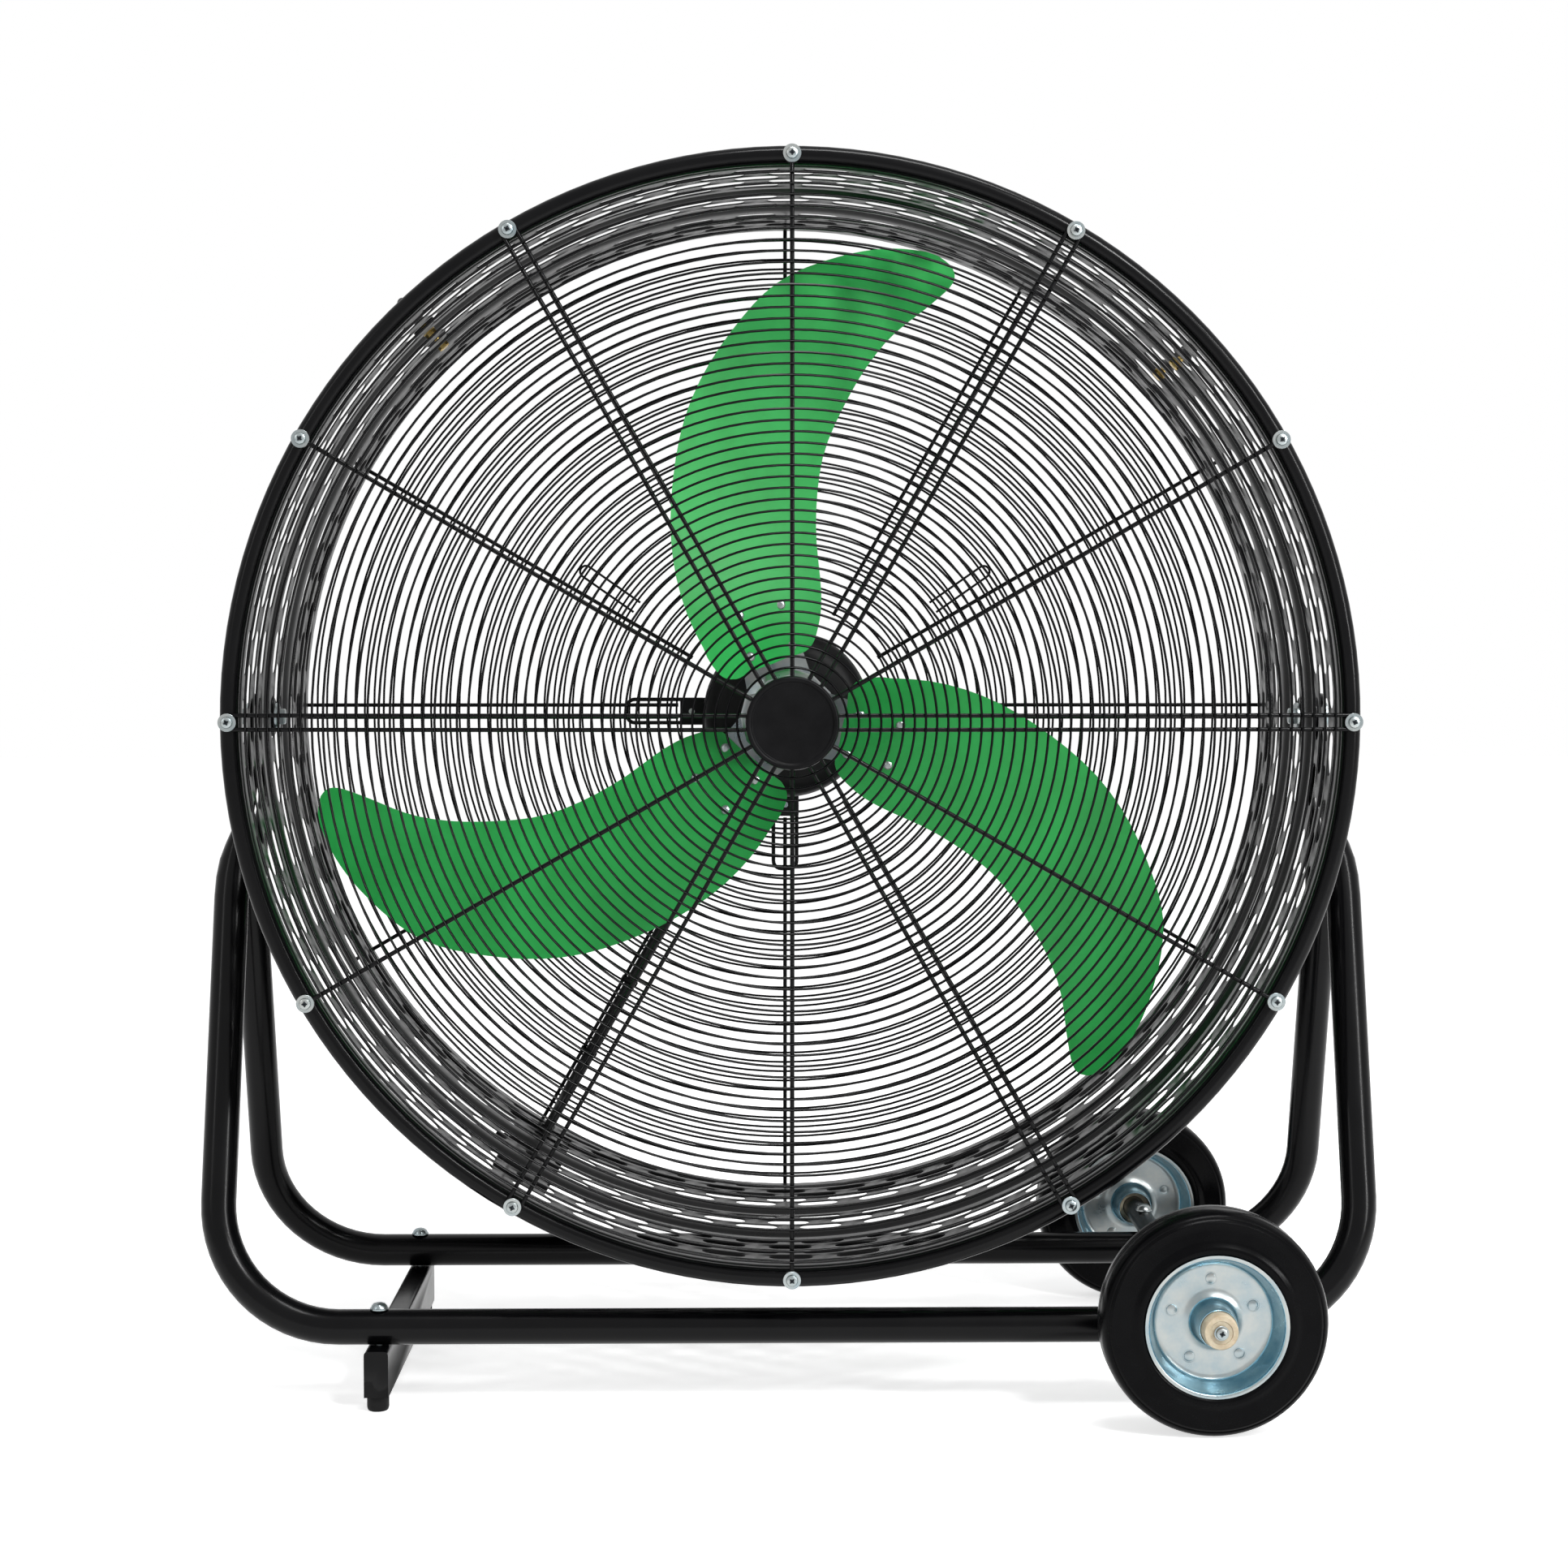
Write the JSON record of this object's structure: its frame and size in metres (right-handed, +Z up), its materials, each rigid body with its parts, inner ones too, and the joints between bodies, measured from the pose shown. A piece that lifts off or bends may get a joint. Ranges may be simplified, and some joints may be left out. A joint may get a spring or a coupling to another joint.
{
  "type": "drum fan",
  "caption": "Wheeled drum fan: a tilting perforated steel drum with wire guards and a bladed rotor, on a bent-tube frame with wheels and rubber feet.",
  "frame": {"origin": "on the floor, under the middle of the drum", "axes": "+Z up; +X to the right of someone facing the air outlet, towards the wheels; +Y from the outlet to the motor side"},
  "size_m": [1.0786, 0.6138, 1.1334],
  "materials": {
    "black_paint": "satin",
    "drum_paint": "satin",
    "green_paint": "satin",
    "zinc": "satin",
    "yellow_zinc": "satin",
    "motor_black": "satin",
    "tyre_rubber": "matte",
    "rubber": "matte",
    "beige_plastic": "satin",
    "black_plastic": "satin"
  },
  "bodies": {
    "base": {"front_frame": "black_paint", "rear_frame": "black_paint", "foot_bar": "black_paint", "foot_front": "rubber", "foot_rear": "rubber", "foot_screw_front": "zinc", "foot_screw_rear": "zinc", "axle": "black_paint", "axle_screw_front": "zinc", "axle_screw_rear": "zinc", "axle_end_screw_front": "zinc", "axle_end_screw_rear": "zinc", "friction_washer_left": "black_plastic", "friction_washer_right": "black_plastic"},
    "drum": {"drum_shell": "drum_paint", "front_guard": "black_paint", "rear_guard": "black_paint", "guard_badge": "black_plastic", "guard_screw_01": "zinc", "guard_screw_02": "zinc", "guard_screw_03": "zinc", "guard_screw_04": "zinc", "guard_screw_05": "zinc", "guard_screw_06": "zinc", "guard_screw_07": "zinc", "guard_screw_08": "zinc", "guard_screw_09": "zinc", "guard_screw_10": "zinc", "guard_screw_11": "zinc", "guard_screw_12": "zinc", "motor": "motor_black", "motor_bolt_1": "zinc", "motor_bolt_2": "zinc", "motor_bolt_3": "zinc", "motor_bolt_4": "zinc", "handle_left": "black_plastic", "handle_right": "black_plastic", "handle_bolt_1": "yellow_zinc", "handle_bolt_2": "yellow_zinc", "handle_bolt_3": "yellow_zinc", "handle_bolt_4": "yellow_zinc", "pivot_bolt_left": "zinc", "pivot_bolt_right": "zinc", "pivot_nut_left": "zinc", "pivot_nut_right": "zinc", "switch_box": "black_plastic", "motor_lead": "rubber"},
    "rotor": {"spider": "zinc", "rotor_shaft": "zinc", "blade_1": "green_paint", "blade_2": "green_paint", "blade_3": "green_paint"},
    "knob": {"speed_knob": "black_plastic"},
    "wheel_front": {"rim_front": "zinc", "tyre_front": "tyre_rubber", "bush_front": "beige_plastic"},
    "wheel_rear": {"rim_rear": "zinc", "tyre_rear": "tyre_rubber", "bush_rear": "beige_plastic"}
  },
  "joints": [
    {"name": "drum_tilt", "type": "hinge", "parent": "base", "child": "drum", "pos_m": [0, 0, 0.623], "axis": [1, 0, 0], "range_deg": [-90, 90]},
    {"name": "rotor_spin", "type": "hinge", "parent": "drum", "child": "rotor", "pos_m": [0, 0, 0.623], "axis": [0, 1, 0], "continuous": true},
    {"name": "knob_turn", "type": "hinge", "parent": "drum", "child": "knob", "pos_m": [-0.2565, 0.16, 0.1787], "axis": [0, 1, 0], "range_deg": [0, 120]},
    {"name": "wheel_front_roll", "type": "hinge", "parent": "base", "child": "wheel_front", "pos_m": [0.368, -0.256, 0.1], "axis": [0, 1, 0], "continuous": true},
    {"name": "wheel_rear_roll", "type": "hinge", "parent": "base", "child": "wheel_rear", "pos_m": [0.368, 0.256, 0.1], "axis": [0, 1, 0], "continuous": true}
  ]
}
